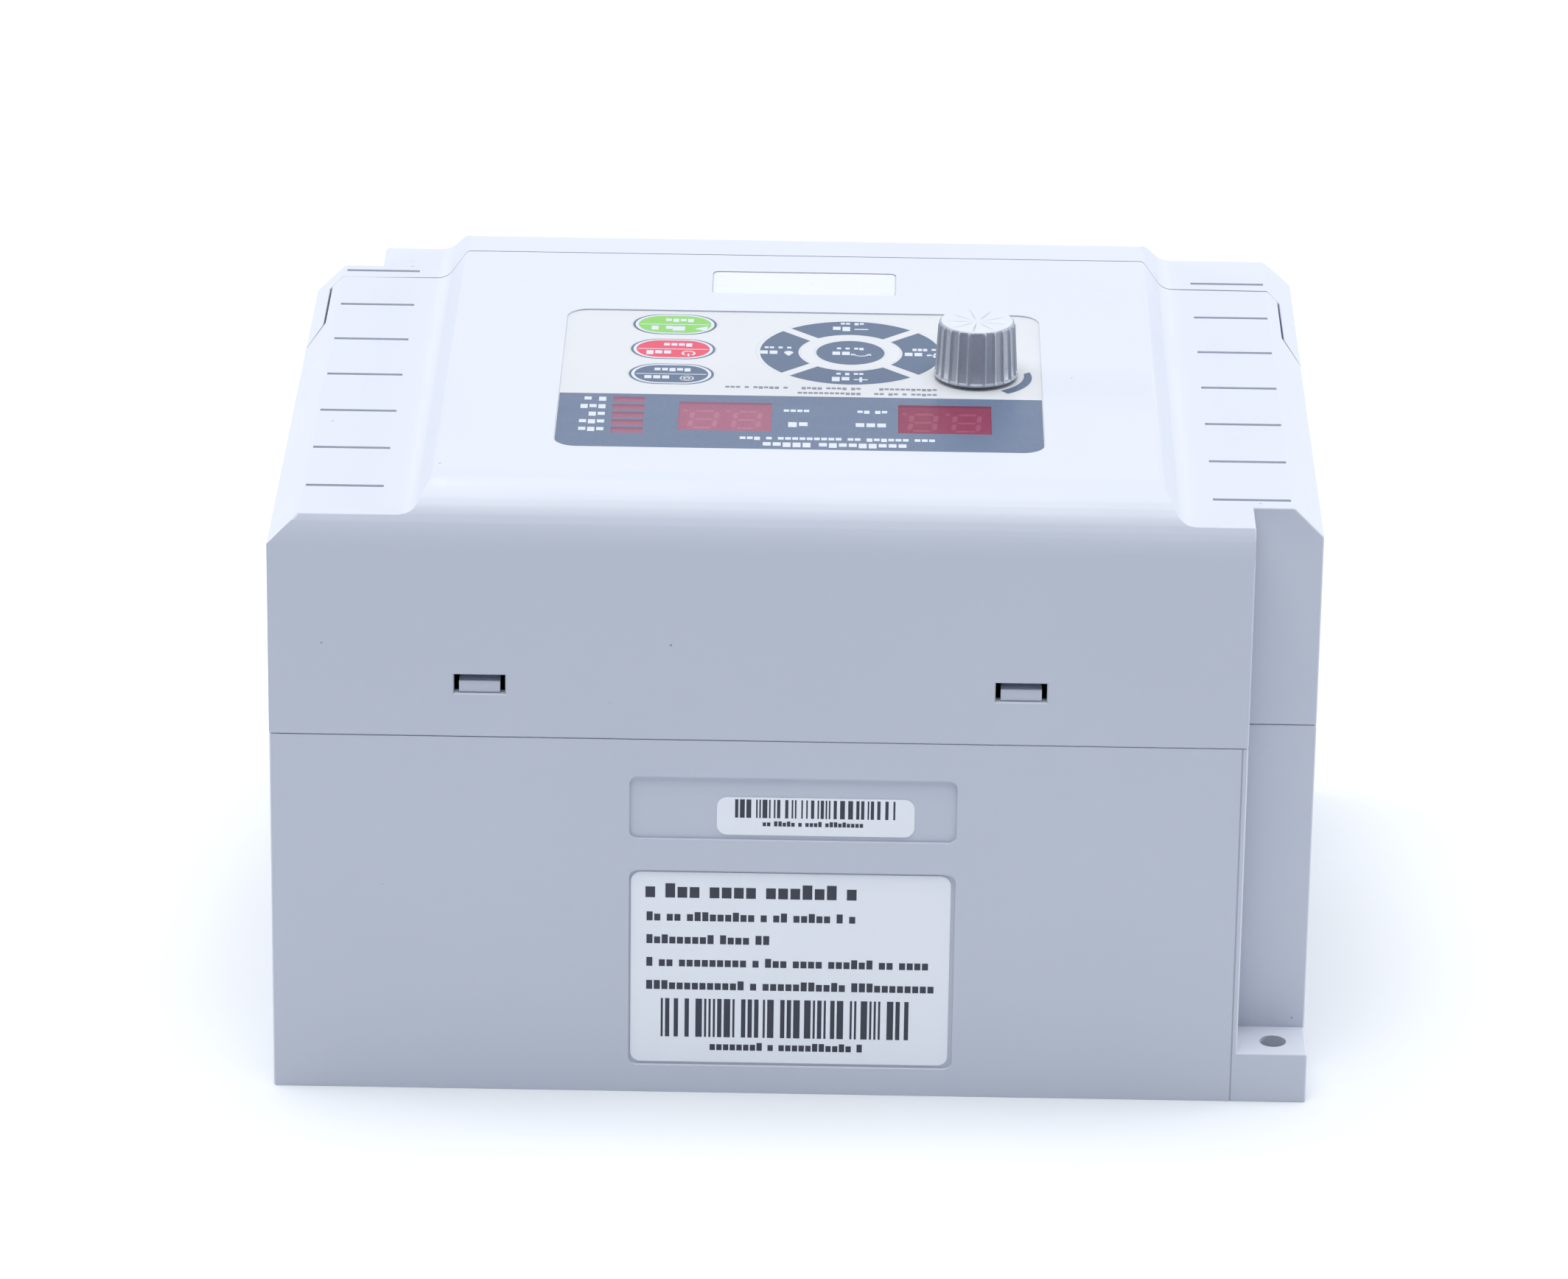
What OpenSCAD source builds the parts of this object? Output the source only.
// Wall-mounted variable frequency drive in a two-part plastic housing.
// Origin: centre of the mounting face. +Z points out of the wall, +Y towards the cable end,
// +X to the right when the labelled end is nearest. Millimetres.

/* [Housing] */
// Overall width of the housing
body_w = 162; // [150:1:200]
// Overall length of the housing, labelled end to cable end
body_l = 124; // [118:1:160]
// Height of the parting line between base and covers
seam_z = 60; // [60:1:72]
// Height of the flat shoulders beside the panel
shoulder_z = 96.2; // [96:0.1:116]
// Height of the raised panel plateau above the shoulders
plateau_rise = 4.8; // [3.5:0.1:6]
// Half width of the raised plateau
plateau_half = 55.7; // [50:0.1:60]
// Slope of the plateau's sides, in degrees
plateau_slope = 55; // [45:1:65]
// Rounding along the top edge of the plateau
plateau_round = 1.2; // [0.5:0.1:2]
// Hollow rounding at the foot of the plateau
plateau_foot = 3; // [1:0.5:4]
// Chamfer along the outer edge of each shoulder
shoulder_chamfer = 4.7; // [3:0.1:6]
// Rounding of the two long front edges, at the labelled and the cable end
end_round = 10; // [6:0.5:12]
// Wall thickness of the base
base_wall = 2.4; // [2:0.1:3]
// Wall thickness of the covers
cover_wall = 2.2; // [1.8:0.1:2.6]

/* [Mounting ears] */
// Width of the corner notch above each ear
notch_w = 11; // [10:0.5:14]
// Depth of the corner notch along the length
notch_l = 10; // [9:0.5:13]
// Thickness of each ear
ear_t = 8.3; // [5:0.1:10]
// Radius of the mounting screw hole
ear_hole_r = 2.1; // [1.6:0.1:2.6]
// Hole centre, in from the side of the housing
ear_hole_x = 5.2; // [4.5:0.1:6]
// Hole centre, in from the end of the housing
ear_hole_y = 4.7; // [4.2:0.1:6]

/* [Covers] */
// Length of the terminal cover's strip across the front
strip_l = 15.8; // [12:0.2:20]
// Reach of the terminal cover's side tabs from the cable end
tab_l = 38; // [30:1:44]
// Sloping run at the front of each side tab
tab_run = 5; // [3:0.5:8]
// Thickness of each side tab
tab_t = 2.6; // [2.2:0.1:3.2]
// Gap along the seam between the two covers
cover_gap = 0.3; // [0.2:0.05:0.6]
// Number of grooves on each shoulder
grooves = 7; // [3:1:8]
// Distance between grooves
groove_pitch = 16.35; // [12:0.05:17]
// Length of a groove
groove_l = 12; // [8:0.5:14]
// Width of a groove
groove_w = 0.9; // [0.5:0.1:1.5]
// Depth of a groove
groove_d = 0.7; // [0.3:0.1:1]

/* [Latches] */
// Centre of the left latch window
latch_left_x = -48.5; // [-55:0.5:-40]
// Centre of the right latch window
latch_right_x = 34.8; // [28:0.1:50]
// Width of a latch window
latch_w = 7.9; // [6:0.1:10]
// Height of a latch window
latch_h = 3.1; // [2.5:0.1:4]
// Bottom of the latch window above the parting line
latch_up = 7.25; // [5:0.05:10]

/* [Panel] */
// Width of the printed overlay
overlay_w = 75.8; // [74:0.2:90]
// Length of the printed overlay
overlay_l = 61.8; // [61:0.2:66]
// Overlay's centre, back from the labelled end
overlay_y = 50.2; // [48:0.1:52]
// Thickness of the overlay
overlay_t = 0.3; // [0.2:0.05:0.5]
// Depth of the overlay's recess
overlay_sink = 0.5; // [0.4:0.05:0.8]
// Corner radius of the overlay
overlay_round = 3.6; // [2:0.1:6]
// Play around each key
key_gap = 0.2; // [0.15:0.05:0.4]
// Travel of each key
key_travel = 0.4; // [0.2:0.05:0.6]
// Width of a stadium key
key_w = 13.5; // [11:0.1:16]
// Length of a stadium key
key_l = 9.2; // [8:0.1:10.4]
// Distance between stadium keys
key_pitch = 11.4; // [10.8:0.1:12.5]
// Outer radius of the key ring
ring_r = 14.9; // [13:0.1:15.5]
// Inner radius of the key ring
ring_in = 8.2; // [7.6:0.1:9]
// Radius of the centre key
centre_r = 5.6; // [4.5:0.1:6]
// Width of the bars between ring keys
ring_bar = 2.2; // [1.8:0.1:3]
// Width of a two-digit display
display_w = 14.6; // [12:0.1:17]
// Length of a two-digit display
display_l = 12.4; // [10:0.1:14]
// Number of indicator bars
lamps = 5; // [1:1:5]
// Distance between indicator bars
lamp_pitch = 3.35; // [3:0.05:3.4]

/* [Knob] */
// Radius of the knob at its base
knob_r = 6.7; // [5:0.1:8]
// Radius of the knob at its top
knob_top_r = 6.2; // [4.8:0.1:8]
// Height of the knob
knob_h = 9.1; // [7:0.1:14]
// Number of grip flutes
flutes = 24; // [12:1:30]
// Radius of the potentiometer's shaft
shaft_r = 3; // [2:0.1:3.2]
// Running play of the shaft
shaft_play = 0.05; // [0.02:0.01:0.09]

/* [Labels] */
// Width of the two label pockets
pocket_w = 50.7; // [40:0.1:56]
// Height of the rating label's pocket
pocket_h = 33.5; // [25:0.5:34]
// Height of the serial label's pocket
pocket_small_h = 10.6; // [8:0.2:12]
// Depth of the label pockets
pocket_d = 0.6; // [0.3:0.1:1]

/* [Cooling] */
// Side of the square fan
fan_side = 40; // [30:1:40]
// Thickness of the fan
fan_t = 10; // [8:1:11]
// Number of fan blades
blades = 7; // [5:1:9]
// Number of heat sink fins
fins = 14; // [8:1:16]
// Thickness of a fin
fin_t = 1.8; // [1.2:0.1:2.4]
// Height of the top of the heat sink's plate
sink_z = 39; // [36:0.5:40]
// Thickness of the heat sink's plate
sink_t = 5; // [4:0.5:8]
// Number of side louvres
louvres = 8; // [4:1:10]

/* [Electronics] */
// Thickness of a circuit board
board_t = 1.6; // [1.2:0.2:2]
// Free height between the heat sink and the power board
board_rise = 7.4; // [7.2:0.1:8]
// Radius of a bus capacitor
capacitor_r = 11; // [8:0.5:12]
// Height of a bus capacitor
capacitor_h = 35; // [25:1:38]
// Poles of the power terminal block
power_poles = 7; // [3:1:7]
// Pole pitch of the power terminal block
power_pitch = 9.5; // [8:0.5:10]
// Poles of the control terminal block
control_poles = 10; // [4:1:10]
// Pole pitch of the control terminal block
control_pitch = 5; // [3.5:0.5:5.1]
// Radius of the cable hole in a grommet
cable_r = 5; // [3:0.5:5.5]
// Radius of the wall hole that a grommet sits in
entry_r = 7; // [7:0.1:7.5]

/* [Hidden] */
$fn = 48;
eps = 0.01;
half_w = body_w / 2;
half_l = body_l / 2;
plateau_z = shoulder_z + plateau_rise;
foot_half = plateau_half + plateau_rise / tan(plateau_slope);
inner_w = half_w - base_wall;
inner_l = half_l - base_wall;
tall = 300;

// Seam between the covers, and the side tabs
strip_y = half_l - strip_l;
tab_y = half_l - tab_l;
tab_x = half_w - tab_t;
groove_first = half_l - 12.8;
groove_in = 5.2;
partition_z = shoulder_z - 19;
tongue_w = 8;
tongue_t = 1.6;
tongue_l = 5;
tongue_play = 0.3;
tongue_bite = 0.4;
tongue_in = 12;

// Cable entry panel, set back so that the grommets stay inside the housing
entry_sink = 2;
entry_x0 = -half_w + 19;
entry_x1 = half_w - 23;
entry_half_h = 11;
entry_face = half_l - entry_sink;
entry_inner = entry_face - base_wall;
entry_step = 26;
entry_power = [for (i = [0 : 2]) entry_x0 + 12 + i * entry_step];
entry_control = [entry_x1 - 14];
entries = concat(entry_power, entry_control);
grommet_flange = 1.5;
grommet_flange_r = entry_r + 1.5;
grommet_play = 0.2;

// Parting line of the mould on the labelled end
witness_w = 0.25;
witness_d = 0.2;

// Label pockets on the labelled end
pocket_z = 4.6;
small_pocket_z = pocket_h + 9.8;
serial_size = [30.6, 6.3];
serial_x = 3.5;
label_t = 0.15;

// Panel stack, from the overlay down
overlay_c = [0, overlay_y - half_l];
overlay_bottom = plateau_z - overlay_sink;
overlay_top = overlay_bottom + overlay_t;
plate_under = plateau_z - cover_wall;
panel_board_z = plate_under - 7.4;
panel_board_top = panel_board_z + board_t;
panel_board_size = [overlay_w + 0.2, overlay_l - 1.8];
display_c = [[-11.7, -16.6], [22.6, -16.6]];
display_play = 0.2;
digit_size = [4.4, 8.4];
digit_hole = [2.6, 2.8];
lamp_c = [-26.9, -16.5];
lamp_size = [5, 2.5];
stadium_c = [for (i = [1 : -1 : -1]) [-20.6, 13.35 + i * key_pitch]];
ring_c = [7.7, 13.1];
ring_stem = (ring_r + ring_in) / 2;
knob_c = [27.6, 2.8];
logo_size = [30, 10.7];
logo_c = [0, overlay_c[1] + 44.7];
logo_d = 0.3;
key_cap = overlay_sink + 0.3;
stem_r = 1.7;
switch_side = 6;
switch_h = 3.4;
switch_play = 0.1;
ring_turns = [90, 270, 180, 0];
ring_seats = [for (a = ring_turns) ring_c + ring_stem * [cos(a), sin(a)]];
switch_seats = concat(stadium_c, ring_seats, [ring_c]);
panel_screws = [for (x = [-1, 1], y = [-1, 1]) [x * (overlay_w / 2 - 2.9), y * (overlay_l / 2 - 3.7)]];
panel_boss_r = 3;
panel_boss_top = 2.5;
panel_screw_r = 1.1;
panel_head_r = 2.3;
panel_head_h = 1.6;
potentiometer_size = [10, 11];
shaft_seat = 2;
knob_lift = 0.4;
knob_z = plateau_z + knob_lift;
knob_cap = 2.5;
knob_dish = 0.5;
knob_rim = 0.8;
flute_r = 0.55;
flute_out = 0.15;

// Latch tongues
latch_pin_r = 1;
latch_pin_z = seam_z - 8;
latch_play = 0.08;
latch_t = 1.6;
latch_back = 0.2;
latch_foot = 0.8;
latch_nose_r = 4;
latch_sink = 0.4;
latch_side = 0.8;
latch_top = 1.15;
latch_bottom = 0.15;
latch_pin_y = -inner_l + 2.2;
latch_pin_out = 1.9;
latch_tip = 2.6;
lug_t = 2;
lug_half = 3;
lug_reach = 5;
latch_xs = [latch_left_x, latch_right_x];

// Fan and heat sink
fan_z = fan_side / 2 + base_wall + 0.6;
guard_t = 1.2;
fan_y1 = inner_l - guard_t - 0.2;
fan_y0 = fan_y1 - fan_t;
fan_bore_r = fan_side / 2 - 1.4;
fan_hole = fan_side * 0.4;
fan_hub_r = fan_side * 0.275;
fan_hub_gap = 0.6;
spider_t = 1.4;
spider_w = 2.4;
fan_axle_r = 1;
blade_play = 0.8;
blade_pitch = 40;
blade_t = 1.1;
guard_w = 1.2;
guard_rings = 4;
fan_screw_r = 1.5;
sink_half_w = half_w - 15;
sink_y0 = -half_l + 8;
sink_y1 = fan_y0 - 2.2;
fin_inset = 5;
fin_half_w = sink_half_w - 13;
fin_pitch = (2 * fin_half_w - fin_t) / (fins - 1);
fin_z0 = 0.8;
window_play = 4;
sink_screw_x = sink_half_w - 4;
sink_screws = [for (x = [-1, 1], y = [sink_y0 + 16, sink_y1 - 20]) [x * sink_screw_x, y]];
sink_boss_r = 3.6;
sink_screw_r = 1.9;
sink_head_r = 3.6;
sink_head_h = 2.4;
sink_screw_l = 19;
louvre_pitch = 7;
louvre_size = [2.6, 24];
louvre_z = 8;

// Power board and what stands on it
power_z = sink_z + board_rise;
power_top = power_z + board_t;
board_play = 2.2;
power_end = entry_inner - 2.6;
power_posts = [for (x = [-1, 1], y = [sink_y0 + 6, sink_y1 - 10]) [x * sink_screw_x, y]];
post_r = 2.8;
m3_r = 1.5;
m3_head_r = 2.8;
m3_head_h = 2;
cross_w = 0.6;
pad_t = 0.3;
module_h = 6.8;
module_c = [20, 0];
module_size = [36, 26];
bridge_c = [-30, 0];
bridge_size = [22, 26];
lug = 7;
lug_h = 3;
capacitor_y = -half_l + 32;
capacitor_x0 = -half_w + 25;
capacitor_step = 2 * capacitor_r + 3;
block_y1 = entry_inner - 3.6;
relay_size = [15, 20];
relay_h = 16;
resistor_size = [24, 8];
resistor_h = 9;
choke_r = 9;
winding_r = 4;
varistor_r = 5.4;
varistor_t = 4;
varistor_step = 7;
sensor_size = [12, 8];
sensor_h = 13;
sensor_step = 16;
sensor_hole_r = 2.6;
bobbin_size = [22, 20];
bobbin_h = 3;
transformer_size = [16, 18];
transformer_h = 14;
power_block_l = 14;
power_block_h = 15;
power_block_x0 = -half_w + 16.5;
power_end_w = 1.5;
power_clamp_w = 5.6;
power_block_w = power_poles * power_pitch + 2 * power_end_w;
power_screw_z = power_top + power_block_h - 5;
power_screw_y = block_y1 - 4.2;
power_screw_r = 2.6;

// Control board on posts above the right half of the power board
control_rise = 16;
control_z = power_top + control_rise;
control_top = control_z + board_t;
control_x0 = half_w - 67;
control_x1 = half_w - 7;
control_y0 = -half_l + 16;
control_posts = [for (x = [control_x0 + 4, control_x1 - 6], y = [control_y0 + 6, half_l - 32]) [x, y]];
control_block_l = 11;
control_block_h = 9;
control_end_w = 1;
control_clamp_w = 3.2;
control_block_w = control_poles * control_pitch + 2 * control_end_w;
control_screw_z = control_top + control_block_h - 3;
control_block_x0 = control_x1 - 3 - control_block_w;
control_screw_y = block_y1 - 3.4;
control_screw_r = 1.5;
ribbon_c = [control_x0 + 14, -6];
ribbon_w = 16;
ribbon_t = 0.9;
processor_side = 14;
processor_h = 1.6;
output_relay_size = [15, 19];
output_relay_h = 15;
output_relay_step = 18;
header_size = [20, 6];
header_h = 5;

// ---------- shared shapes ----------

function unit(v) = v / norm(v);
function turn(a, b) = a[0] * b[1] - a[1] * b[0];
function corner_half(p, q, s) = acos(unit(q - p) * unit(s - p)) / 2;
function corner_start(p, q, r, h) = p + unit(q - p) * r / tan(h);
function corner_centre(p, q, s, r, h) = p + unit(unit(q - p) + unit(s - p)) * r / sin(h);

// Round part of one corner: the disc of the rounding within the corner's triangle
module corner_arc(p, q, s, r) {
    h = corner_half(p, q, s);
    intersection() {
        translate(corner_centre(p, q, s, r, h)) circle(r);
        polygon([corner_start(p, q, r, h), p, corner_start(p, s, r, h)]);
    }
}

// Anticlockwise outline with a true arc of the given radius at each corner; 0 keeps it sharp
module arc_outline(points, radii) {
    n = len(points);
    chords = [for (i = [0 : n - 1])
        let (p = points[i], q = points[(i + n - 1) % n], s = points[(i + 1) % n], h = corner_half(p, q, s))
        each radii[i] > 0 ? [corner_start(p, q, radii[i], h), corner_start(p, s, radii[i], h)] : [p]];
    outward = [for (i = [0 : n - 1])
        turn(points[i] - points[(i + n - 1) % n], points[(i + 1) % n] - points[i]) > 0];
    difference() {
        union() {
            polygon(chords);
            for (i = [0 : n - 1])
                if (radii[i] > 0 && outward[i])
                    corner_arc(points[i], points[(i + n - 1) % n], points[(i + 1) % n], radii[i]);
        }
        for (i = [0 : n - 1])
            if (radii[i] > 0 && !outward[i])
                corner_arc(points[i], points[(i + n - 1) % n], points[(i + 1) % n], radii[i]);
    }
}

// Rectangle about a centre with rounded corners
module soft_rect(size, r, c = [0, 0]) {
    x = size[0] / 2;
    y = size[1] / 2;
    translate(c) arc_outline([[-x, -y], [x, -y], [x, y], [-x, y]], [r, r, r, r]);
}

// Slab between two heights
module slab(z0, z1) {
    translate([0, 0, z0]) linear_extrude(z1 - z0) children();
}

// Box between two corners
module block(low, high) {
    translate(low) cube(high - low);
}

// Round bar along Y
module bar_y(r, y0, y1, x, z) {
    translate([x, y1, z]) rotate([90, 0, 0]) cylinder(r = r, h = y1 - y0);
}

// Round bar along X
module bar_x(r, x0, x1, y, z) {
    translate([x0, y, z]) rotate([0, 90, 0]) cylinder(r = r, h = x1 - x0);
}

// Upright round bar
module bar_z(r, z0, z1, c) {
    translate([c[0], c[1], z0]) cylinder(r = r, h = z1 - z0);
}

// Pan-head screw with a cross recess, its head standing on height z
module pan_screw(c, z, r, head_r, head_h, shank) {
    difference() {
        union() {
            bar_z(head_r, z, z + head_h, c);
            bar_z(r, z - shank, z + eps, c);
        }
        for (a = [0, 90])
            translate([c[0], c[1], z + head_h]) rotate(a) cube([head_r, cross_w, head_h], center = true);
    }
}

// The corner notches above the two mounting ears, grown by a wall
module notches(grow, z0, z1) {
    for (s = [-1, 1])
        slab(z0, z1) translate([s * half_w, -s * half_l])
            square([2 * (notch_w + grow), 2 * (notch_l + grow)], center = true);
}

// ---------- housing ----------

// Cross-section of the covers in X and Z, moved inwards by a wall
module cover_section(inset) {
    side = half_w - inset;
    flat_z = shoulder_z - inset;
    corner = inset * (sqrt(2) - 1);
    shift = inset * tan(plateau_slope / 2);
    low = seam_z - (inset > 0 ? 1 : 0);
    round_top = max(plateau_round - inset, 0);
    round_foot = plateau_foot + inset;
    right = [[side, low], [side, shoulder_z - shoulder_chamfer - corner],
        [half_w - shoulder_chamfer - corner, flat_z], [foot_half - shift, flat_z],
        [plateau_half - shift, plateau_z - inset]];
    left = [for (i = [len(right) - 1 : -1 : 0]) [-right[i][0], right[i][1]]];
    arc_outline(concat(right, left), [0, 0, 0, round_foot, round_top, round_top, round_foot, 0, 0, 0]);
}

// Side view of the covers in Y and Z, with the two rounded front edges
module cover_side(inset) {
    y = half_l - inset;
    z = plateau_z - inset;
    low = seam_z - (inset > 0 ? 1 : 0);
    arc_outline([[-y, low], [y, low], [y, z], [-y, z]], [0, 0, end_round - inset, end_round - inset]);
}

// Solid form that both covers are cut from
module cover_form(inset) {
    intersection() {
        translate([0, half_l, 0]) rotate([90, 0, 0]) linear_extrude(body_l) cover_section(inset);
        translate([-half_w, 0, 0]) rotate([90, 0, 90]) linear_extrude(body_w) cover_side(inset);
    }
}

// Plan of the area the front cover takes, moved inwards by a wall
module front_plan(inset) {
    edge = half_w + 1;
    tab = tab_x - cover_gap - inset;
    turn_y = tab_y + tab_run - cover_gap;
    low_y = tab_y - cover_gap - inset;
    far_y = strip_y - cover_gap / 2;
    right = [[edge, -half_l - 1], [edge, low_y], [half_w - inset, low_y], [tab, turn_y - inset],
        [tab, far_y]];
    left = [for (i = [len(right) - 1 : -1 : 0]) [-right[i][0], right[i][1]]];
    polygon(concat(right, left));
}

// Plan of the area the terminal cover takes
module terminal_plan() {
    edge = half_w + 1;
    near_y = strip_y + cover_gap / 2;
    right = [[tab_x, near_y], [tab_x, tab_y + tab_run], [half_w, tab_y], [edge, tab_y], [edge, half_l + 1]];
    left = [for (i = [len(right) - 1 : -1 : 0]) [-right[i][0], right[i][1]]];
    polygon(concat(right, left));
}

// Shallow grooves across both shoulders
module shoulder_grooves() {
    for (s = [-1, 1], i = [0 : grooves - 1])
        translate([s * (half_w - groove_in - groove_l / 2), groove_first - i * groove_pitch, shoulder_z])
            cube([groove_l, groove_w, 2 * groove_d], center = true);
}

// Cable entry holes, split by the parting line
module entry_holes(r) {
    for (x = entries) bar_y(r, entry_inner - 1, half_l + 1, x, seam_z);
}

// Thick backing of the cable entry panel
module entry_block(z0, z1) {
    block([entry_x0 - base_wall, entry_inner, z0], [entry_x1 + base_wall, half_l - 1, z1]);
}

// Shallow pocket that sets the cable entry panel back
module entry_pocket(z0, z1) {
    block([entry_x0, entry_face, z0], [entry_x1, half_l + 1, z1]);
}

// Recess on the labelled end for one label
module label_pocket(h, z) {
    translate([0, -half_l + pocket_d, z + h / 2]) rotate([90, 0, 0])
        linear_extrude(2 * pocket_d) soft_rect([pocket_w, h], 1.4);
}

// Pairs of lugs that carry the latches' pins
module latch_lugs() {
    for (x = latch_xs, s = [-1, 1])
        difference() {
            block([x + s * (latch_w + lug_t) / 2 - lug_t / 2, -inner_l - eps, latch_pin_z - lug_half],
                [x + s * (latch_w + lug_t) / 2 + lug_t / 2, -inner_l + lug_reach, latch_pin_z + lug_half]);
            bar_x(latch_pin_r + latch_play, x - latch_w, x + latch_w, latch_pin_y, latch_pin_z);
        }
}

module base_housing() {
    color([0.79, 0.81, 0.85])
    difference() {
        union() {
            difference() {
                block([-half_w, -half_l, 0], [half_w, half_l, seam_z]);
                difference() {
                    block([-inner_w, -inner_l, base_wall], [inner_w, inner_l, seam_z + 1]);
                    notches(base_wall, 0, seam_z + 2);
                    entry_block(seam_z - entry_half_h - base_wall, seam_z + 2);
                }
            }
            for (c = sink_screws) bar_z(sink_boss_r, eps, sink_z - sink_t, c);
            latch_lugs();
        }
        notches(0, ear_t, seam_z + 1);
        for (s = [-1, 1])
            bar_z(ear_hole_r, -1, ear_t + 1, s * [half_w - ear_hole_x, -half_l + ear_hole_y]);
        block([-fin_half_w - window_play, sink_y0 + fin_inset - window_play, -1],
            [fin_half_w + window_play, sink_y1 - fin_inset + window_play, base_wall + 1]);
        for (c = sink_screws) bar_z(sink_screw_r, sink_z - sink_screw_l - 1, sink_z, c);
        entry_pocket(seam_z - entry_half_h, seam_z + 1);
        entry_holes(entry_r);
        label_pocket(pocket_h, pocket_z);
        label_pocket(pocket_small_h, small_pocket_z);
        bar_y(fan_bore_r - 0.6, inner_l - 1, half_l + 1, 0, fan_z);
        for (x = [-1, 1], z = [-1, 1])
            translate([x * fan_hole, half_l, fan_z + z * fan_hole]) rotate([90, 0, 0]) {
                cylinder(r = fan_screw_r, h = base_wall + 1);
                translate([0, 0, -eps])
                    cylinder(r1 = 2 * fan_screw_r + eps, r2 = fan_screw_r, h = fan_screw_r + eps);
            }
        for (s = [-1, 1], i = [0 : louvres - 1])
            translate([s * half_w, sink_y0 + 22 + i * louvre_pitch, louvre_z + louvre_size[1] / 2])
                cube([2 * base_wall + 2, louvre_size[0], louvre_size[1]], center = true);
        block([half_w - notch_w - 1, -half_l - 1, -1],
            [half_w - notch_w - 1 + witness_w, -half_l + witness_d, seam_z + 1]);
    }
}

module front_cover() {
    color([0.80, 0.82, 0.86])
    difference() {
        union() {
            difference() {
                intersection() {
                    cover_form(0);
                    slab(seam_z, tall) front_plan(0);
                }
                difference() {
                    intersection() {
                        cover_form(cover_wall);
                        slab(0, tall) front_plan(cover_wall);
                    }
                    notches(cover_wall, 0, tall);
                    block([-half_w, strip_y - cover_gap / 2 - cover_wall, partition_z],
                        [half_w, strip_y + 1, tall]);
                }
            }
            for (c = panel_screws) bar_z(panel_boss_r, panel_board_top, plateau_z - 1, overlay_c + c);
        }
        notches(0, 0, tall);
        shoulder_grooves();
        slab(overlay_bottom, tall) soft_rect([overlay_w + 0.3, overlay_l + 0.3], overlay_round, overlay_c);
        slab(plate_under - 1, tall) panel_openings(key_gap);
        slab(plateau_z - logo_d, tall) soft_rect(logo_size, 1, logo_c);
        for (x = latch_xs)
            block([x - latch_w / 2, -half_l - 1, seam_z + latch_up],
                [x + latch_w / 2, -half_l + cover_wall + 1, seam_z + latch_up + latch_h]);
        for (c = panel_screws)
            bar_z(panel_screw_r, panel_board_top - 1, plateau_z - panel_boss_top, overlay_c + c);
    }
}

// Tongue that guides the terminal cover down behind a wall face of the base; its foot sinks
// into the cover's own wall at root
module cover_tongue(x, face, root) {
    x0 = x - tongue_w / 2;
    x1 = x + tongue_w / 2;
    back = face - tongue_play - tongue_t;
    block([x0, back, seam_z - tongue_l], [x1, back + tongue_t, seam_z + tongue_l]);
    block([x0, back, seam_z + 1], [x1, root + tongue_bite, seam_z + tongue_l]);
}

// Lift-off cover over the terminals
module terminal_cover() {
    color([0.80, 0.82, 0.86])
    difference() {
        union() {
            difference() {
                intersection() {
                    cover_form(0);
                    slab(seam_z, tall) terminal_plan();
                }
                difference() {
                    cover_form(cover_wall);
                    notches(cover_wall, 0, tall);
                    for (s = [-1, 1])
                        block([s > 0 ? tab_x : -half_w, tab_y, 0], [s > 0 ? half_w : -tab_x, half_l, tall]);
                    entry_block(0, seam_z + entry_half_h + base_wall);
                }
            }
            cover_tongue(half_w - tongue_in, inner_l, half_l - cover_wall);
            cover_tongue((entry_power[2] + entry_control[0]) / 2, entry_inner, entry_inner);
        }
        notches(0, 0, tall);
        shoulder_grooves();
        entry_pocket(seam_z - 1, seam_z + entry_half_h);
        entry_holes(entry_r + 0.3);
    }
}

// Tongue that holds the front cover: a pivot pin, a blade and the nose seen in the window
module latch(x) {
    w = latch_w - 2 * latch_side;
    nose_low = seam_z + latch_up + latch_bottom;
    nose_high = seam_z + latch_up + latch_h - latch_top;
    nose_y = -half_l + latch_sink + latch_nose_r;
    blade_y = -half_l + max(base_wall, cover_wall) + latch_back + latch_t / 2;
    color([0.78, 0.80, 0.84]) {
        bar_x(latch_pin_r, x - w / 2 - latch_pin_out, x + w / 2 + latch_pin_out, latch_pin_y, latch_pin_z);
        block([x - w / 2, blade_y - latch_t / 2, latch_pin_z - latch_foot],
            [x + w / 2, blade_y + latch_t / 2, nose_high + latch_tip]);
        intersection() {
            bar_x(latch_nose_r, x - w / 2, x + w / 2, nose_y, (nose_low + nose_high) / 2);
            block([x - w / 2, -half_l, nose_low], [x + w / 2, blade_y, nose_high]);
        }
    }
}

module latch_left() { latch(latch_left_x); }

module latch_right() { latch(latch_right_x); }

// ---------- cooling ----------

module heat_sink() {
    color([0.75, 0.76, 0.78])
    difference() {
        union() {
            block([-sink_half_w, sink_y0, sink_z - sink_t], [sink_half_w, sink_y1, sink_z]);
            for (i = [0 : fins - 1])
                translate([-fin_half_w + i * fin_pitch, sink_y0 + fin_inset, fin_z0])
                    cube([fin_t, sink_y1 - sink_y0 - 2 * fin_inset, sink_z - sink_t - fin_z0 + eps]);
        }
        for (c = sink_screws) bar_z(sink_screw_r + 0.3, 0, sink_z + 1, c);
        for (c = concat(power_posts, lug_holes)) bar_z(m3_r, sink_z - 4, sink_z + 1, c);
    }
}

module heat_sink_screws() {
    color([0.72, 0.73, 0.75])
    for (c = sink_screws) pan_screw(c, sink_z, sink_screw_r, sink_head_r, sink_head_h, sink_screw_l);
}

module thermal_pads() {
    color([0.9, 0.9, 0.88]) {
        slab(sink_z, sink_z + pad_t) translate(module_c) square(module_size, center = true);
        slab(sink_z, sink_z + pad_t) translate(bridge_c) square(bridge_size, center = true);
    }
}

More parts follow.
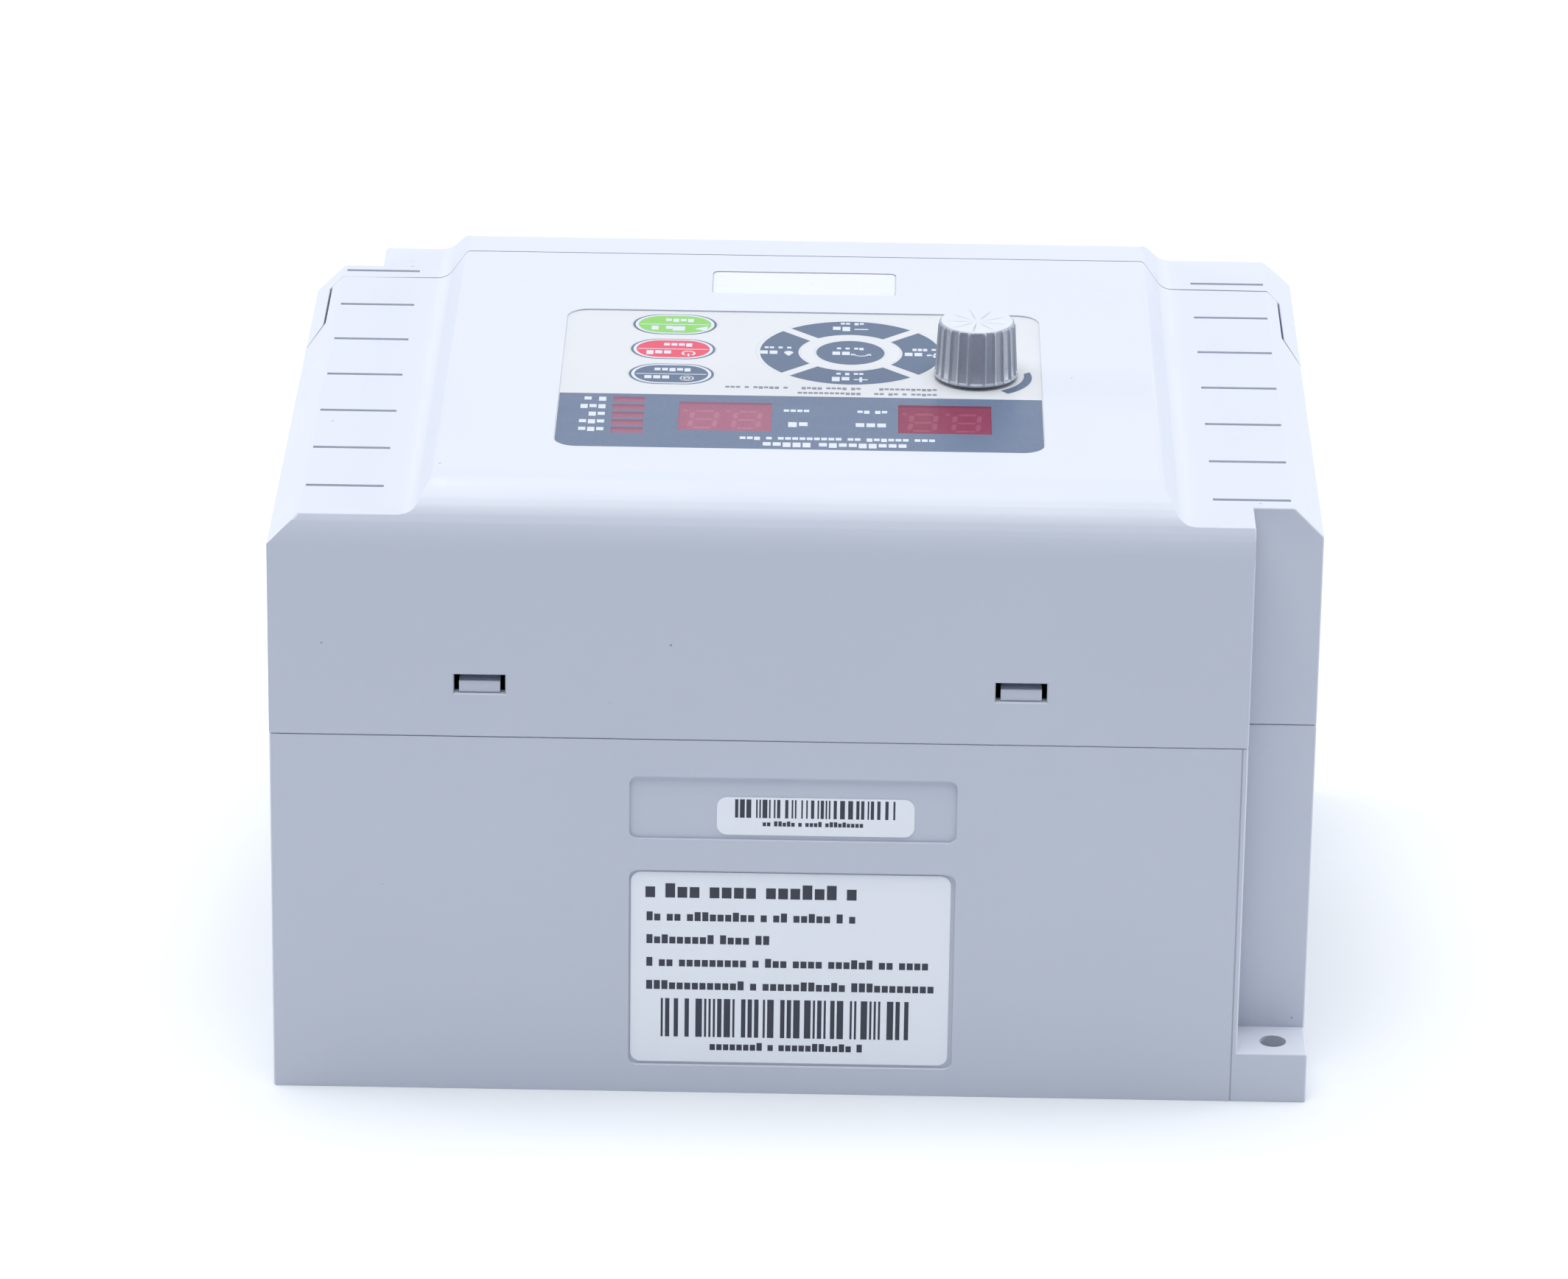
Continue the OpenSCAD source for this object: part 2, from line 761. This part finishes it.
function lugs_at(c, size) = [for (s = [-1, 1]) c + [s * (size[0] / 2 + lug / 2), 0]];
lug_holes = concat(lugs_at(module_c, module_size), lugs_at(bridge_c, bridge_size));

// Flat power package with a screw lug at each end
module power_package(c, size) {
    difference() {
        union() {
            slab(sink_z + pad_t, sink_z + pad_t + module_h) translate(c) square(size, center = true);
            slab(sink_z + pad_t, sink_z + pad_t + lug_h) translate(c)
                square([size[0] + 2 * lug, 10], center = true);
        }
        for (p = lugs_at(c, size)) bar_z(m3_r + 0.2, sink_z, sink_z + module_h + 1, p);
    }
}

module power_module() { color([0.12, 0.12, 0.13]) power_package(module_c, module_size); }

module rectifier_bridge() { color([0.12, 0.12, 0.13]) power_package(bridge_c, bridge_size); }

module module_screws() {
    color([0.72, 0.73, 0.75])
    for (p = lug_holes) pan_screw(p, sink_z + pad_t + lug_h, m3_r, m3_head_r, m3_head_h, lug_h + 3);
}

module fan_frame() {
    color([0.10, 0.10, 0.11])
    difference() {
        union() {
            difference() {
                translate([0, fan_y1, fan_z]) rotate([90, 0, 0])
                    linear_extrude(fan_t) soft_rect([fan_side, fan_side], 3);
                bar_y(fan_bore_r, fan_y0 - 1, fan_y1 + 1, 0, fan_z);
            }
            bar_y(fan_hub_r, fan_y0, fan_y0 + spider_t, 0, fan_z);
            for (a = [45 : 90 : 315])
                translate([0, fan_y0 + spider_t / 2, fan_z]) rotate([0, a, 0])
                    translate([fan_bore_r / 2 + 0.5, 0, 0])
                        cube([fan_bore_r + 1, spider_t, spider_w], center = true);
        }
        bar_y(fan_axle_r + shaft_play, fan_y0 - 1, fan_y0 + spider_t + 1, 0, fan_z);
        for (x = [-1, 1], z = [-1, 1])
            bar_y(fan_screw_r, fan_y0 - 1, fan_y1 + 1, x * fan_hole, fan_z + z * fan_hole);
    }
}

module fan_rotor() {
    rotor_y0 = fan_y0 + spider_t + fan_hub_gap;
    rotor_y1 = fan_y1 - blade_play;
    mid = (rotor_y0 + rotor_y1) / 2;
    blade_l = fan_bore_r - blade_play - fan_hub_r;
    color([0.13, 0.13, 0.14]) {
        bar_y(fan_hub_r, rotor_y0, rotor_y1, 0, fan_z);
        bar_y(fan_axle_r, fan_y0 + 0.2, rotor_y0 + eps, 0, fan_z);
        intersection() {
            bar_y(fan_bore_r - blade_play, rotor_y0, rotor_y1, 0, fan_z);
            for (i = [0 : blades - 1])
                translate([0, mid, fan_z]) rotate([0, i * 360 / blades, 0])
                    translate([fan_hub_r + blade_l / 2, 0, 0]) rotate([blade_pitch, 0, 0])
                        cube([blade_l + 1.5, fan_t - 1, blade_t], center = true);
        }
    }
}

module fan_guard() {
    outer = fan_bore_r + 1;
    color([0.70, 0.71, 0.73])
    translate([0, inner_l, fan_z]) rotate([90, 0, 0]) linear_extrude(guard_t)
        difference() {
            union() {
                for (i = [1 : guard_rings])
                    difference() {
                        circle(outer * i / guard_rings);
                        circle(outer * i / guard_rings - guard_w);
                    }
                for (a = [45 : 90 : 315])
                    rotate(a) translate([(outer / guard_rings + fan_hole * sqrt(2)) / 2 - 0.6, 0])
                        square([fan_hole * sqrt(2) - outer / guard_rings + 1.2, 2 * guard_w], center = true);
                for (x = [-1, 1], z = [-1, 1]) translate([x, z] * fan_hole) circle(3);
            }
            for (x = [-1, 1], z = [-1, 1]) translate([x, z] * fan_hole) circle(fan_screw_r);
        }
}

module fan_screws() {
    color([0.72, 0.73, 0.75])
    for (x = [-1, 1], z = [-1, 1])
        translate([x * fan_hole, half_l, fan_z + z * fan_hole]) rotate([90, 0, 0])
            difference() {
                union() {
                    cylinder(r1 = 2 * fan_screw_r, r2 = fan_screw_r, h = fan_screw_r);
                    cylinder(r = fan_screw_r, h = half_l - fan_y0 - 1);
                }
                for (a = [0, 90]) rotate(a) cube([2 * fan_screw_r, cross_w, 1.4], center = true);
            }
}

// ---------- power electronics ----------

module power_board() {
    color([0.10, 0.38, 0.22])
    difference() {
        slab(power_z, power_top) difference() {
            translate([-inner_w + board_play, -inner_l + board_play + 4])
                square([2 * (inner_w - board_play), power_end + inner_l - board_play - 4]);
            for (s = [-1, 1])
                translate([s * half_w, -s * half_l])
                    square(2 * ([notch_w, notch_l] + (base_wall + board_play) * [1, 1]), center = true);
        }
        for (c = power_posts) bar_z(m3_r + 0.1, power_z - 1, power_top + 1, c);
    }
}

module power_board_posts() {
    color([0.80, 0.68, 0.36])
    for (c = power_posts)
        difference() {
            translate([c[0], c[1], sink_z]) cylinder(r = post_r, h = board_rise, $fn = 6);
            bar_z(m3_r, power_z - 5, power_z + 1, c);
        }
}

module power_board_screws() {
    color([0.72, 0.73, 0.75])
    for (c = power_posts) pan_screw(c, power_top, m3_r, m3_head_r, m3_head_h, 6);
}

// Electrolytic can with a bead near its foot and a pressed vent cross on top
module bus_capacitors() {
    color([0.14, 0.16, 0.30])
    for (i = [0 : 2]) {
        c = [capacitor_x0 + i * capacitor_step, capacitor_y];
        difference() {
            bar_z(capacitor_r, power_top, power_top + capacitor_h, c);
            translate([c[0], c[1], power_top + 4]) rotate_extrude()
                translate([capacitor_r + 0.4, 0]) circle(1);
            for (a = [0, 90])
                translate([c[0], c[1], power_top + capacitor_h]) rotate(a)
                    cube([1.2 * capacitor_r, 0.5, 0.6], center = true);
        }
    }
}

module precharge_relay() {
    color([0.15, 0.28, 0.55])
    slab(power_top, power_top + relay_h) soft_rect(relay_size, 1, [capacitor_x0 + 3, capacitor_y + 28]);
}

module precharge_resistor() {
    color([0.92, 0.91, 0.87])
    slab(power_top, power_top + resistor_h)
        soft_rect(resistor_size, 0.8, [capacitor_x0 + 30, capacitor_y + 22]);
}

module line_choke() {
    color([0.72, 0.42, 0.20])
    translate([capacitor_x0 + 30, capacitor_y + 41, power_top + winding_r]) rotate_extrude()
        translate([choke_r, 0]) circle(winding_r);
}

module varistors() {
    color([0.18, 0.36, 0.62])
    for (i = [0 : 2])
        translate([capacitor_x0 - 4 + i * varistor_step, capacitor_y + 46, power_top]) rotate([0, 90, 0])
            translate([-varistor_r, 0, 0]) cylinder(r = varistor_r, h = varistor_t);
}

module current_sensors() {
    color([0.12, 0.12, 0.13])
    for (i = [0, 1])
        translate([capacitor_x0 + 2 + i * sensor_step, capacitor_y + 58, power_top])
            difference() {
                slab(0, sensor_h) square(sensor_size, center = true);
                bar_y(sensor_hole_r, -sensor_size[1], sensor_size[1], 0, sensor_h / 2 + 1);
            }
}

module supply_transformer() {
    c = [control_x0 + 18, capacitor_y + 8];
    color([0.85, 0.75, 0.35]) {
        slab(power_top, power_top + bobbin_h) soft_rect(bobbin_size, 0.8, c);
        slab(power_top + bobbin_h - eps, power_top + transformer_h) soft_rect(transformer_size, 2, c);
    }
}

module power_terminal_block() {
    color([0.14, 0.15, 0.15])
    difference() {
        block([power_block_x0, block_y1 - power_block_l, power_top],
            [power_block_x0 + power_block_w, block_y1, power_top + power_block_h]);
        for (i = [0 : power_poles - 1]) {
            x = power_block_x0 + power_end_w + (i + 0.5) * power_pitch;
            bar_z(power_screw_r + 0.5, power_screw_z, power_top + power_block_h + 1, [x, power_screw_y]);
            block([x - power_clamp_w / 2, block_y1 - 8, power_top + 4],
                [x + power_clamp_w / 2, block_y1 + 1, power_top + 7.8]);
        }
    }
}

module power_terminal_screws() {
    color([0.72, 0.73, 0.75])
    for (i = [0 : power_poles - 1]) {
        c = [power_block_x0 + power_end_w + (i + 0.5) * power_pitch, power_screw_y];
        pan_screw(c, power_screw_z, power_screw_r - 0.6, power_screw_r, 2.6, 0);
    }
}

module cable_grommets() {
    neck = base_wall + 2 * grommet_play;
    inner_y = entry_inner - grommet_play - grommet_flange;
    outer_y = entry_face + grommet_play;
    color([0.09, 0.09, 0.09])
    for (x = entries)
        difference() {
            union() {
                bar_y(grommet_flange_r, inner_y, inner_y + grommet_flange, x, seam_z);
                bar_y(entry_r, inner_y, inner_y + 2 * grommet_flange + neck, x, seam_z);
                bar_y(grommet_flange_r, outer_y, outer_y + grommet_flange, x, seam_z);
            }
            bar_y(cable_r, inner_y - 1, half_l + 1, x, seam_z);
        }
}

// ---------- control electronics ----------

module control_board() {
    color([0.10, 0.38, 0.22])
    difference() {
        block([control_x0, control_y0, control_z], [control_x1, block_y1 + 0.4, control_top]);
        for (c = control_posts) bar_z(m3_r + 0.1, control_z - 1, control_top + 1, c);
    }
}

module control_board_posts() {
    color([0.80, 0.68, 0.36])
    for (c = control_posts)
        difference() {
            translate([c[0], c[1], power_top]) cylinder(r = post_r, h = control_rise, $fn = 6);
            bar_z(m3_r, control_z - 6, control_z + 1, c);
        }
}

module control_board_screws() {
    color([0.72, 0.73, 0.75])
    for (c = control_posts) pan_screw(c, control_top, m3_r, m3_head_r, m3_head_h, 6);
}

module control_processor() {
    color([0.10, 0.10, 0.11])
    slab(control_top, control_top + processor_h)
        soft_rect([processor_side, processor_side], 0.5, [control_x0 + 34, ribbon_c[1] - 14]);
}

module output_relays() {
    color([0.13, 0.24, 0.50])
    for (i = [0, 1])
        slab(control_top, control_top + output_relay_h)
            soft_rect(output_relay_size, 0.8, [control_x0 + 20 + i * output_relay_step, half_l - 37]);
}

module control_terminal_block() {
    color([0.12, 0.42, 0.24])
    difference() {
        block([control_block_x0, block_y1 - control_block_l, control_top],
            [control_block_x0 + control_block_w, block_y1, control_top + control_block_h]);
        for (i = [0 : control_poles - 1]) {
            x = control_block_x0 + control_end_w + (i + 0.5) * control_pitch;
            bar_z(control_screw_r + 0.3, control_screw_z, control_top + control_block_h + 1,
                [x, control_screw_y]);
            block([x - control_clamp_w / 2, block_y1 - 5, control_top + 2],
                [x + control_clamp_w / 2, block_y1 + 1, control_top + 4.6]);
        }
    }
}

module control_terminal_screws() {
    color([0.72, 0.73, 0.75])
    for (i = [0 : control_poles - 1]) {
        c = [control_block_x0 + control_end_w + (i + 0.5) * control_pitch, control_screw_y];
        pan_screw(c, control_screw_z, control_screw_r - 0.4, control_screw_r, 1.6, 0);
    }
}

module ribbon_headers() {
    color([0.12, 0.12, 0.13]) {
        slab(control_top, control_top + header_h) translate(ribbon_c) square(header_size, center = true);
        slab(panel_board_z - header_h, panel_board_z) translate(ribbon_c) square(header_size, center = true);
    }
}

module keypad_ribbon() {
    color([0.66, 0.67, 0.70])
    slab(control_top + header_h, panel_board_z - header_h)
        translate(ribbon_c) square([ribbon_w, ribbon_t], center = true);
}

// ---------- operator panel ----------

module stadium(size) {
    r = size[1] / 2;
    square([size[0] - 2 * r, size[1]], center = true);
    for (s = [-1, 1]) translate([s * (size[0] / 2 - r), 0]) circle(r);
}

// One quarter of the key ring, pointing along +X before it is turned
module ring_quarter(grow) {
    apex = ring_bar / 2 * sqrt(2) - grow * sqrt(2);
    intersection() {
        difference() {
            circle(ring_r + grow);
            circle(ring_in - grow);
        }
        translate([apex, 0]) polygon([[0, 0], [2 * ring_r, -2 * ring_r], [2 * ring_r, 2 * ring_r]]);
    }
}

// Outline of key i, grown by a gap: three stadium keys, four ring keys and the centre key
module key_outline(i, grow) {
    if (i < 3)
        translate(overlay_c + stadium_c[i]) stadium([key_w, key_l] + 2 * grow * [1, 1]);
    else if (i < 7)
        translate(overlay_c + ring_c) rotate(ring_turns[i - 3]) ring_quarter(grow);
    else
        translate(overlay_c + ring_c) circle(centre_r + grow);
}

// Everything that passes through the panel: keys, shaft, displays and indicator bars
module panel_openings(grow) {
    for (i = [0 : 7]) key_outline(i, grow);
    translate(overlay_c + knob_c) circle(shaft_r + 0.5);
    for (c = display_c) translate(overlay_c + c) square([display_w, display_l], center = true);
    for (i = [0 : lamps - 1])
        translate(overlay_c + lamp_c + [0, (i - (lamps - 1) / 2) * lamp_pitch])
            square(lamp_size, center = true);
}

module panel_overlay() {
    color([0.93, 0.94, 0.94])
    difference() {
        slab(overlay_bottom, overlay_top) soft_rect([overlay_w, overlay_l], overlay_round, overlay_c);
        slab(overlay_bottom - 1, overlay_top + 1) panel_openings(key_gap);
    }
}

module display_windows() {
    color([0.75, 0.32, 0.40])
    slab(overlay_bottom, overlay_top) {
        for (c = display_c) translate(overlay_c + c) square([display_w, display_l], center = true);
        for (i = [0 : lamps - 1])
            translate(overlay_c + lamp_c + [0, (i - (lamps - 1) / 2) * lamp_pitch])
                square(lamp_size, center = true);
    }
}

// Key cap flush with the overlay, on a stem that works the switch below
module key(i) {
    seat = overlay_c + switch_seats[i];
    slab(overlay_top - key_cap, overlay_top) key_outline(i, 0);
    bar_z(stem_r, panel_board_top + switch_h - 0.8, overlay_top - key_cap + eps, seat);
}

module run_stop_key() { color([0.45, 0.80, 0.35]) key(0); }

module on_off_key() { color([0.95, 0.30, 0.38]) key(1); }

module cool_key() { color([0.38, 0.43, 0.55]) key(2); }

module decrease_key() { color([0.38, 0.43, 0.55]) key(3); }

module increase_key() { color([0.38, 0.43, 0.55]) key(4); }

module clean_key() { color([0.38, 0.43, 0.55]) key(5); }

module exhaust_key() { color([0.38, 0.43, 0.55]) key(6); }

module swing_key() { color([0.38, 0.43, 0.55]) key(7); }

module tact_switches() {
    color([0.15, 0.15, 0.16])
    for (c = switch_seats)
        difference() {
            slab(panel_board_top, panel_board_top + switch_h)
                translate(overlay_c + c) square(switch_side, center = true);
            bar_z(stem_r + switch_play, panel_board_top + switch_h - 0.8 - key_travel - 0.1,
                panel_board_top + switch_h + 1, overlay_c + c);
        }
}

module keypad_board() {
    color([0.10, 0.38, 0.22])
    difference() {
        slab(panel_board_z, panel_board_top) soft_rect(panel_board_size, 1.5, overlay_c);
        for (c = panel_screws)
            bar_z(panel_screw_r + 0.5, panel_board_z - 1, panel_board_top + 1, overlay_c + c);
    }
}

module keypad_board_screws() {
    color([0.72, 0.73, 0.75])
    for (c = panel_screws)
        translate([0, 0, 2 * panel_board_z]) mirror([0, 0, 1])
            pan_screw(overlay_c + c, panel_board_z, panel_screw_r, panel_head_r, panel_head_h, 6);
}

// Two-digit module with its digits sunk in the face
module digit_pair(c) {
    color([0.30, 0.12, 0.15])
    difference() {
        slab(panel_board_top, overlay_bottom - display_play) translate(overlay_c + c)
            square([display_w, display_l] - 2 * [display_play, display_play], center = true);
        for (s = [-1, 1])
            slab(overlay_bottom - 2 * display_play, overlay_bottom)
                translate(overlay_c + c + [s * display_w / 4, 0]) difference() {
                    square(digit_size, center = true);
                    for (y = [-1, 1])
                        translate([0, y * digit_size[1] / 4]) square(digit_hole, center = true);
                }
    }
}

module frequency_display() { digit_pair(display_c[0]); }

module temperature_display() { digit_pair(display_c[1]); }

module indicator_lamps() {
    color([0.55, 0.15, 0.20])
    for (i = [0 : lamps - 1])
        slab(panel_board_top, overlay_bottom - display_play)
            translate(overlay_c + lamp_c + [0, (i - (lamps - 1) / 2) * lamp_pitch])
                square(lamp_size - [0.3, 0.3], center = true);
}

module potentiometer() {
    top = plate_under - 0.3;
    color([0.16, 0.22, 0.30])
    difference() {
        slab(panel_board_top, top) soft_rect(potentiometer_size, 1, overlay_c + knob_c);
        bar_z(shaft_r + shaft_play, panel_board_top + shaft_seat, top + 1, overlay_c + knob_c);
    }
}

module potentiometer_shaft() {
    color([0.78, 0.79, 0.80])
    bar_z(shaft_r, panel_board_top + shaft_seat + 0.2, knob_z + knob_h - knob_cap, overlay_c + knob_c);
}

module control_knob() {
    taper = atan((knob_r - knob_top_r) / knob_h);
    color([0.74, 0.75, 0.77])
    translate([overlay_c[0] + knob_c[0], overlay_c[1] + knob_c[1], knob_z])
    difference() {
        cylinder(r1 = knob_r, r2 = knob_top_r, h = knob_h);
        translate([0, 0, -1]) cylinder(r = shaft_r, h = knob_h - knob_cap + 1);
        for (i = [0 : flutes - 1])
            rotate(i * 360 / flutes) translate([knob_r + flute_out, 0, 0]) rotate([0, -taper, 0])
                translate([0, 0, knob_rim]) cylinder(r = flute_r, h = knob_h);
        translate([0, 0, knob_h - knob_dish]) cylinder(r1 = 0.2, r2 = knob_top_r - 0.8, h = knob_dish + eps);
    }
}

module logo_plate() {
    color([0.84, 0.86, 0.89])
    slab(plateau_z - logo_d, plateau_z - logo_d / 3) soft_rect(logo_size - [0.4, 0.4], 0.9, logo_c);
}

// ---------- labels ----------

module sticker(size, x, z) {
    translate([x, -half_l + pocket_d, z]) rotate([90, 0, 0]) linear_extrude(label_t)
        soft_rect(size, 1.6, [0, size[1] / 2]);
}

module serial_label() { color([0.96, 0.96, 0.97]) sticker(serial_size, serial_x, small_pocket_z + 0.8); }

module rating_label() {
    color([0.96, 0.96, 0.97]) sticker([pocket_w - 1, pocket_h - 1], -0.2, pocket_z + 0.5);
}

base_housing();
heat_sink();
heat_sink_screws();
thermal_pads();
power_module();
rectifier_bridge();
module_screws();
power_board();
power_board_posts();
power_board_screws();
bus_capacitors();
precharge_relay();
precharge_resistor();
line_choke();
varistors();
current_sensors();
supply_transformer();
power_terminal_block();
power_terminal_screws();
cable_grommets();
fan_frame();
fan_guard();
fan_screws();
fan_rotor();
control_board();
control_board_posts();
control_board_screws();
control_processor();
output_relays();
control_terminal_block();
control_terminal_screws();
keypad_ribbon();
ribbon_headers();
front_cover();
keypad_board();
keypad_board_screws();
tact_switches();
frequency_display();
temperature_display();
indicator_lamps();
potentiometer();
potentiometer_shaft();
control_knob();
panel_overlay();
display_windows();
run_stop_key();
on_off_key();
cool_key();
decrease_key();
increase_key();
clean_key();
exhaust_key();
swing_key();
logo_plate();
serial_label();
rating_label();
terminal_cover();
latch_left();
latch_right();
